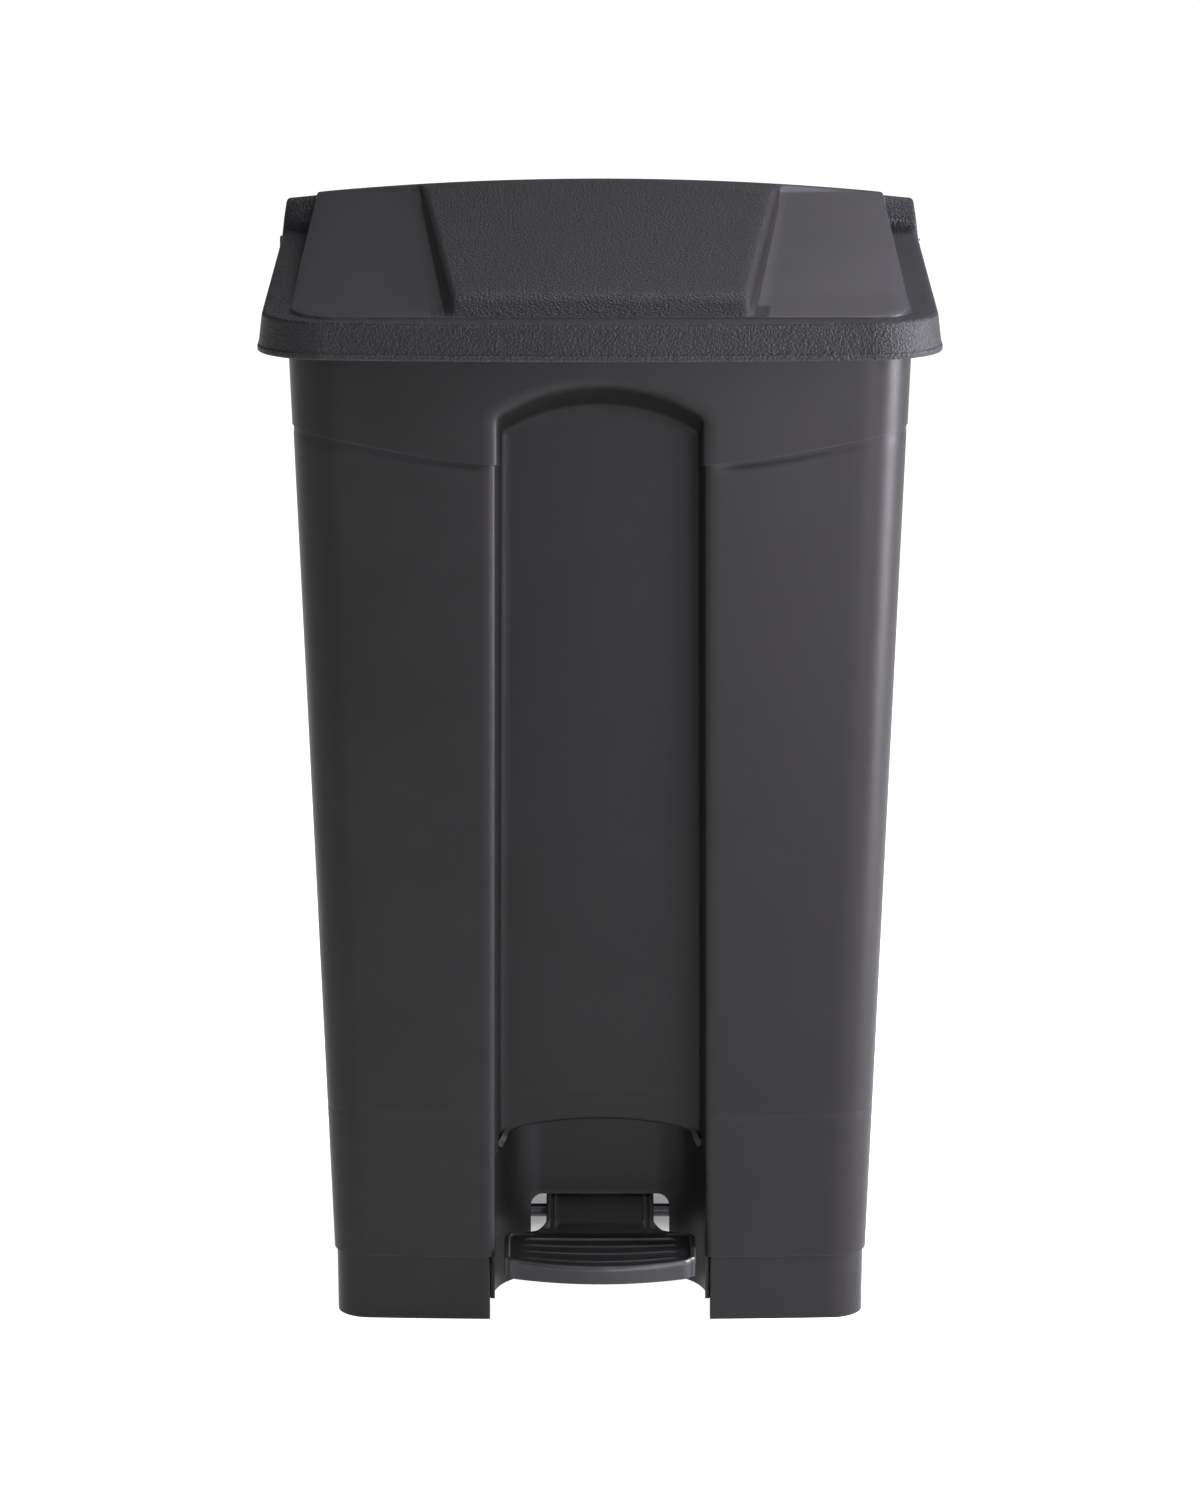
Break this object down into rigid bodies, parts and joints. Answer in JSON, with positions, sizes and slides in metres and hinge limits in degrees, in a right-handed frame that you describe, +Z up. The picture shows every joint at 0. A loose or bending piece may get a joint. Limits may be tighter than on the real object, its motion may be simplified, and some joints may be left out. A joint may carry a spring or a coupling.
{
  "type": "pedal trash can",
  "caption": "Tall tapered step-on waste bin: moulded body with a sunken front channel, overhanging hinged lid and a foot pedal that lifts it by a rod up the back.",
  "frame": {"origin": "centre of the object's box at the floor, lid closed", "axes": "+Z up, front with the pedal faces -Y, +X to the right seen from the front"},
  "size_m": [0.502, 0.41, 0.826],
  "materials": {
    "body_plastic": "moulded polypropylene, satin, warm near-black",
    "lid_plastic": "moulded polypropylene, satin charcoal grey with a fine stipple on the rim and the raised centre",
    "pedal_plastic": "moulded nylon, glossy black",
    "black_plastic": "moulded, plain black",
    "nylon": "natural nylon",
    "steel": "bright drawn wire",
    "black_steel": "black painted bar",
    "zinc_steel": "zinc plated pressing",
    "spring_steel": "dark spring steel",
    "rubber": "soft black rubber"
  },
  "bodies": {
    "bin": {"body_shell": "body_plastic", "hinge_rod": "steel", "hinge_rod_cap": "black_plastic", "rod_guides": "black_plastic", "rod_guide_screws": "steel", "pedal_axle": "black_steel", "axle_clips": "spring_steel", "arm_stop": "rubber", "lid_bumpers": "rubber"},
    "lid_body": {"lid": "lid_plastic", "lid_lever": "zinc_steel", "lid_lever_screws": "steel", "lid_hinge_bushes": "nylon"},
    "pedal_body": {"pedal": "pedal_plastic", "pedal_bushes": "nylon", "pedal_arm": "zinc_steel", "pedal_arm_screws": "steel"},
    "rod_body": {"lift_rod": "steel", "rod_top_clip": "spring_steel", "rod_bottom_clip": "spring_steel"}
  },
  "joints": [
    {"name": "lid_hinge", "type": "hinge", "parent": "bin", "child": "lid_body", "pos_m": [0, 0.19, 0.769], "axis": [-1, 0, 0], "range_deg": [0, 78]},
    {"name": "pedal_pivot", "type": "hinge", "parent": "bin", "child": "pedal_body", "pos_m": [0, -0.086, 0.067], "axis": [1, 0, 0], "range_deg": [0, 13.41]},
    {"name": "rod_pivot", "type": "hinge", "parent": "pedal_body", "child": "rod_body", "pos_m": [0, 0.15503, 0.03868], "axis": [-1, 0, 0], "range_deg": [0, 13.41]}
  ],
  "couplings": [
    {"joint": "pedal_pivot", "follows": "lid_hinge", "ratio": 0.17183},
    {"joint": "rod_pivot", "follows": "lid_hinge", "ratio": 0.17183}
  ]
}
